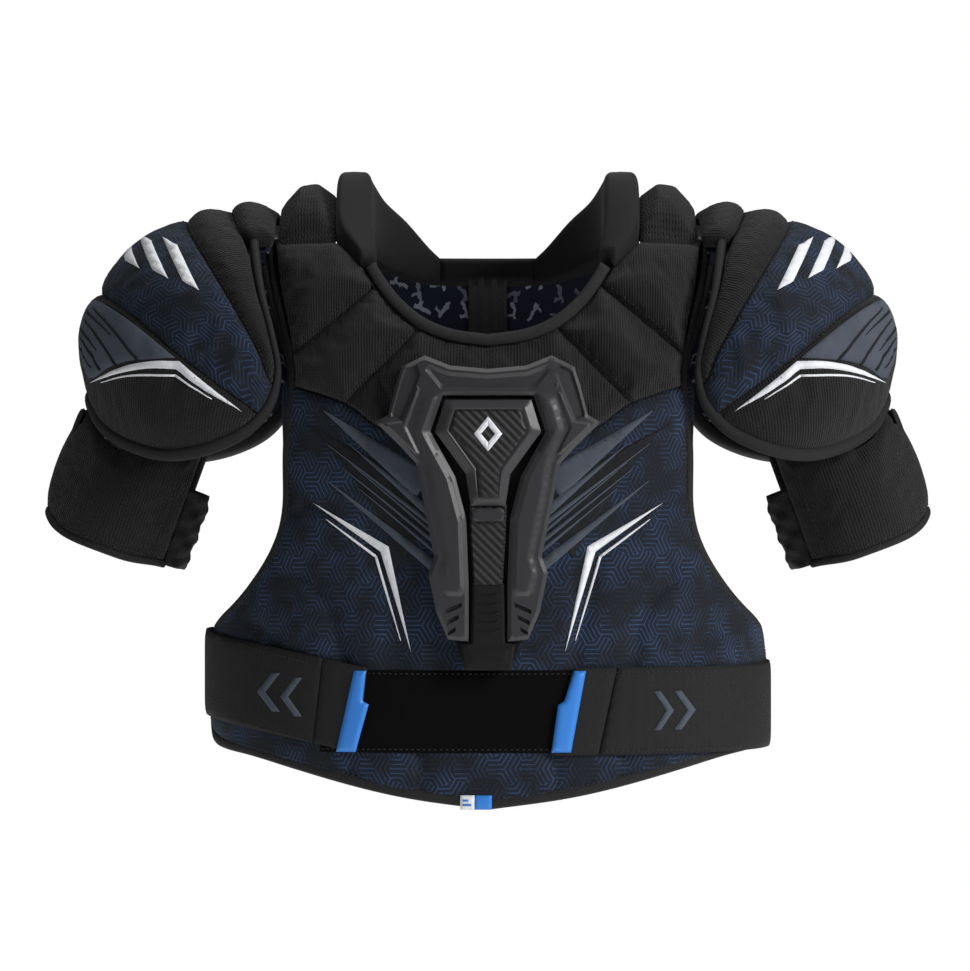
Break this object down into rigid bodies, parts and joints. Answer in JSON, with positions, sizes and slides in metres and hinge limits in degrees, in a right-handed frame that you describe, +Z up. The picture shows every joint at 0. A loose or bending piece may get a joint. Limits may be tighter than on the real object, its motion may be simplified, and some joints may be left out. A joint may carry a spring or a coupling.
{
  "type": "ice hockey shoulder pads",
  "caption": "Ice hockey shoulder pads: quilted vest with a moulded sternum guard, upright collar, domed shoulder caps, hanging upper-arm guards and elastic belly straps.",
  "frame": {"origin": "where the wearer's shoulders carry the pads: on the middle plane, between front and back, level with the underside of the shoulder bridges", "axes": "+X towards the wearer's left, -Y out of the chest, +Z up"},
  "size_m": [0.621, 0.2706, 0.433],
  "materials": {
    "black_knit": "matt warp-knit polyester over foam",
    "foam": "fabric-faced EVA foam",
    "navy_print": "sublimation-printed polyester over foam",
    "lining": "brushed printed lining",
    "gusset": "stretch webbing",
    "binding": "folded binding tape",
    "elastic": "woven elastic webbing",
    "moulded": "satin moulded polyethylene",
    "carbon_look": "carbon-look textured plastic",
    "loop": "brushed loop fastener",
    "label": "woven label",
    "blue_rubber": "satin moulded rubber",
    "insert": "moulded polyethylene"
  },
  "bodies": {
    "back": {"back_panel": "navy_print", "left_back_lining": "lining", "right_back_lining": "lining", "back_gusset": "gusset", "spine_pad": "black_knit", "left_blade_pad": "black_knit", "right_blade_pad": "black_knit", "lumbar_pad": "black_knit", "back_edge_binding": "binding", "left_bridge_pad": "black_knit", "right_bridge_pad": "black_knit", "left_collar_pad": "black_knit", "right_collar_pad": "black_knit", "back_collar_pad": "black_knit", "left_strap_anchor": "elastic", "right_strap_anchor": "elastic"},
    "front": {"front_lining": "lining", "front_panel": "navy_print", "left_clavicle_pad": "black_knit", "right_clavicle_pad": "black_knit", "left_chest_pad": "black_knit", "right_chest_pad": "black_knit", "centre_chest_pad": "black_knit", "neck_binding": "binding", "front_edge_binding": "binding", "sternum_foam": "foam", "sternum_plate": "moulded", "sternum_shield": "carbon_look", "sternum_channel_strip": "carbon_look", "sternum_tongue": "moulded", "belly_loop_panel": "loop", "size_label": "label"},
    "left_cap": {"left_cap_dome": "navy_print", "left_cap_rib": "black_knit", "left_cap_yoke_rib": "black_knit", "left_cap_binding": "binding", "left_cap_insert": "insert", "left_cap_lining": "lining"},
    "left_guard": {"left_guard_pad": "black_knit", "left_guard_insert": "insert", "left_guard_lining": "lining", "left_guard_hanger": "elastic"},
    "left_guard_strap": {"left_guard_strap": "elastic"},
    "left_belly_strap": {"left_belly_strap": "elastic"},
    "left_hook_tab": {"left_hook_tab": "elastic", "left_pull_tab": "blue_rubber"},
    "right_cap": {"right_cap_dome": "navy_print", "right_cap_rib": "black_knit", "right_cap_yoke_rib": "black_knit", "right_cap_binding": "binding", "right_cap_insert": "insert", "right_cap_lining": "lining"},
    "right_guard": {"right_guard_pad": "black_knit", "right_guard_insert": "insert", "right_guard_lining": "lining", "right_guard_hanger": "elastic"},
    "right_guard_strap": {"right_guard_strap": "elastic"},
    "right_belly_strap": {"right_belly_strap": "elastic"},
    "right_hook_tab": {"right_hook_tab": "elastic", "right_pull_tab": "blue_rubber"}
  },
  "joints": [
    {"name": "front_lift", "type": "hinge", "parent": "back", "child": "front", "pos_m": [0, -0.08, -0.01], "axis": [-1, 0, 0], "range_deg": [0, 35]},
    {"name": "left_belly_strap_open", "type": "hinge", "parent": "back", "child": "left_belly_strap", "pos_m": [0.1964, 0.024, -0.324], "axis": [0, 0, 1], "range_deg": [0, 140]},
    {"name": "left_hook_tab_peel", "type": "hinge", "parent": "left_belly_strap", "child": "left_hook_tab", "pos_m": [0.0792, -0.11912, -0.324], "axis": [0.2344, 0.0441, 0.9711], "range_deg": [0, 100]},
    {"name": "left_cap_raise", "type": "hinge", "parent": "back", "child": "left_cap", "pos_m": [0.143, 0, 0.031], "axis": [0, -1, 0], "range_deg": [0, 60]},
    {"name": "left_guard_swing", "type": "hinge", "parent": "left_cap", "child": "left_guard", "pos_m": [0.2855, 0, -0.118], "axis": [0, -1, 0], "range_deg": [0, 50]},
    {"name": "left_guard_strap_open", "type": "hinge", "parent": "left_guard", "child": "left_guard_strap", "pos_m": [0.21347, 0.03081, -0.20318], "axis": [0.342, 0, -0.9397], "range_deg": [0, 75]},
    {"name": "right_belly_strap_open", "type": "hinge", "parent": "back", "child": "right_belly_strap", "pos_m": [-0.1964, 0.024, -0.324], "axis": [0, 0, -1], "range_deg": [0, 140]},
    {"name": "right_hook_tab_peel", "type": "hinge", "parent": "right_belly_strap", "child": "right_hook_tab", "pos_m": [-0.1142, -0.10945, -0.318], "axis": [-0.1365, 0.048, -0.9895], "range_deg": [0, 100]},
    {"name": "right_cap_raise", "type": "hinge", "parent": "back", "child": "right_cap", "pos_m": [-0.143, 0, 0.031], "axis": [0, 1, 0], "range_deg": [0, 60]},
    {"name": "right_guard_swing", "type": "hinge", "parent": "right_cap", "child": "right_guard", "pos_m": [-0.2855, 0, -0.118], "axis": [0, 1, 0], "range_deg": [0, 50]},
    {"name": "right_guard_strap_open", "type": "hinge", "parent": "right_guard", "child": "right_guard_strap", "pos_m": [-0.21347, 0.03081, -0.20318], "axis": [0.342, 0, 0.9397], "range_deg": [0, 75]}
  ],
  "couplings": [
    {"joint": "left_belly_strap_open", "follows": "front_lift", "ratio": 4},
    {"joint": "right_belly_strap_open", "follows": "front_lift", "ratio": 4}
  ]
}
